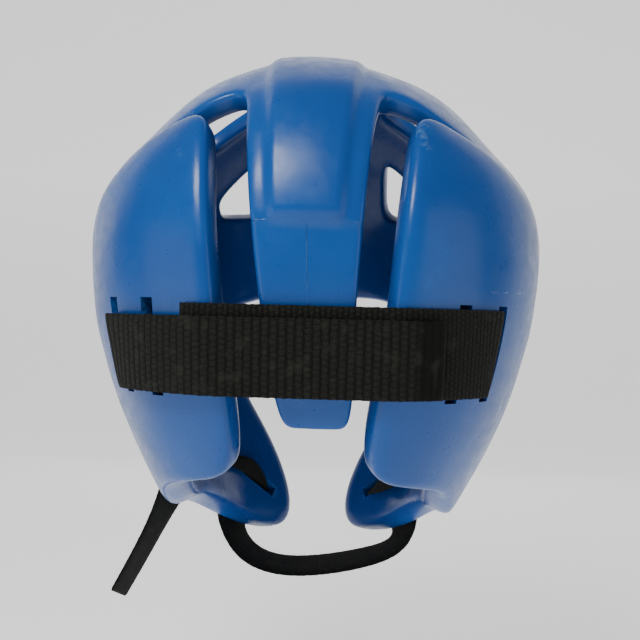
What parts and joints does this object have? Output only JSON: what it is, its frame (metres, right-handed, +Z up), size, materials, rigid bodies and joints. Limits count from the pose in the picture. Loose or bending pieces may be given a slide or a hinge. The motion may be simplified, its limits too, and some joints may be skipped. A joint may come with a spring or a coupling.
{
  "type": "karate head guard",
  "caption": "Blue moulded-foam martial-arts head guard with open crown vents, an open face, a black rear elastic that closes the back and a black chin strap.",
  "frame": {"origin": "where the crown of a head meets the inside of the centre band", "axes": "+Z up, the face opening towards -Y, the back strap towards +Y, the wearer's left towards +X"},
  "size_m": [0.2115, 0.2283, 0.2758],
  "materials": {
    "blue_foam": "gloss",
    "black_elastic": "matte",
    "black_strap": "matte",
    "black_webbing": "matte"
  },
  "bodies": {
    "root": {"foam_shell": "blue_foam", "rear_elastic": "black_elastic", "rear_strap": "black_strap", "chin_strap": "black_webbing"}
  },
  "joints": []
}
